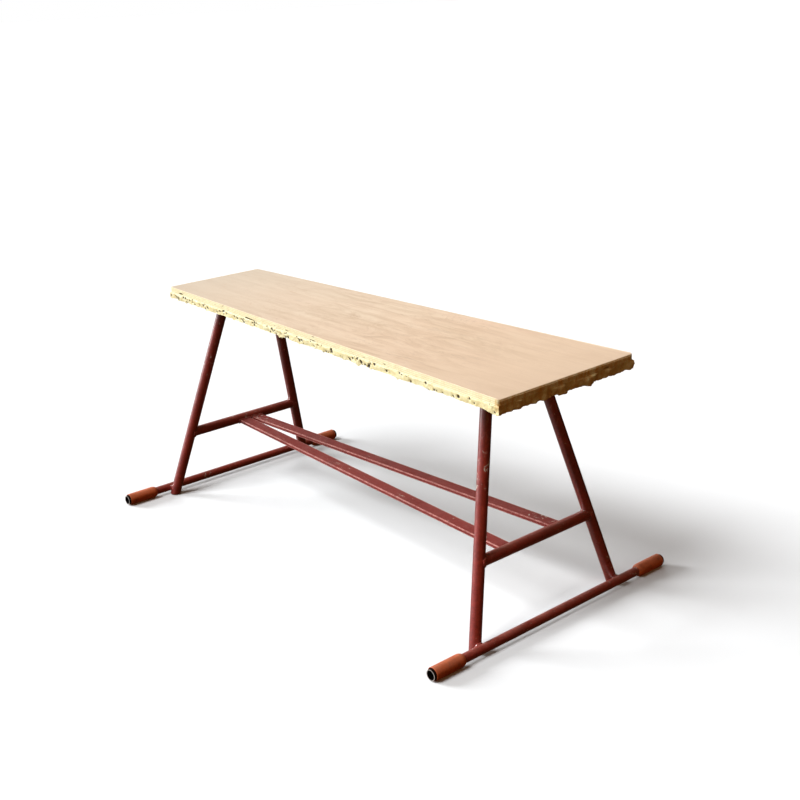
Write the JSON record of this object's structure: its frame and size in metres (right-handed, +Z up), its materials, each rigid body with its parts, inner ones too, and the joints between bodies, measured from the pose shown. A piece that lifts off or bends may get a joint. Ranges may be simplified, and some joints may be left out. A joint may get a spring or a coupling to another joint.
{
  "type": "sawhorse",
  "caption": "Low sawhorse: tapered plywood top on two welded splayed tube trestles with sleeved base rails, tied by diverging flat stretchers.",
  "frame": {"origin": "on the floor, under the middle of the top", "axes": "+X along the top towards its wide end, +Y to the rear, +Z up"},
  "size_m": [1.382, 0.778, 0.598],
  "materials": {
    "plywood": "worn bare veneer, satin",
    "bedding": "rough, lumpy, pitted",
    "frame_paint": "semi-gloss red oxide paint, chipped",
    "weld_paint": "painted over, rippled",
    "sleeve_rubber": "aged, satin",
    "socket_steel": "bare cut tube, dull",
    "screw_steel": "zinc plated, dull"
  },
  "bodies": {
    "root": {"base_rail_left": "frame_paint", "base_rail_right": "frame_paint", "bearer_left": "frame_paint", "bearer_right": "frame_paint", "bearer_welds_left": "weld_paint", "bearer_welds_right": "weld_paint", "board_screws_left": "screw_steel", "board_screws_right": "screw_steel", "crossbar_left": "frame_paint", "crossbar_right": "frame_paint", "crossbar_welds_left": "weld_paint", "crossbar_welds_right": "weld_paint", "edge_crust": "bedding", "leg_left_front": "frame_paint", "leg_left_rear": "frame_paint", "leg_right_front": "frame_paint", "leg_right_rear": "frame_paint", "rail_welds_left": "weld_paint", "rail_welds_right": "weld_paint", "sleeve_left_front": "sleeve_rubber", "sleeve_left_rear": "sleeve_rubber", "sleeve_right_front": "sleeve_rubber", "sleeve_right_rear": "sleeve_rubber", "socket_left_front": "socket_steel", "socket_left_rear": "socket_steel", "socket_right_front": "socket_steel", "socket_right_rear": "socket_steel", "stretcher_front": "frame_paint", "stretcher_rear": "frame_paint", "stretcher_welds_left": "weld_paint", "stretcher_welds_right": "weld_paint", "top_board": "plywood"}
  },
  "joints": []
}
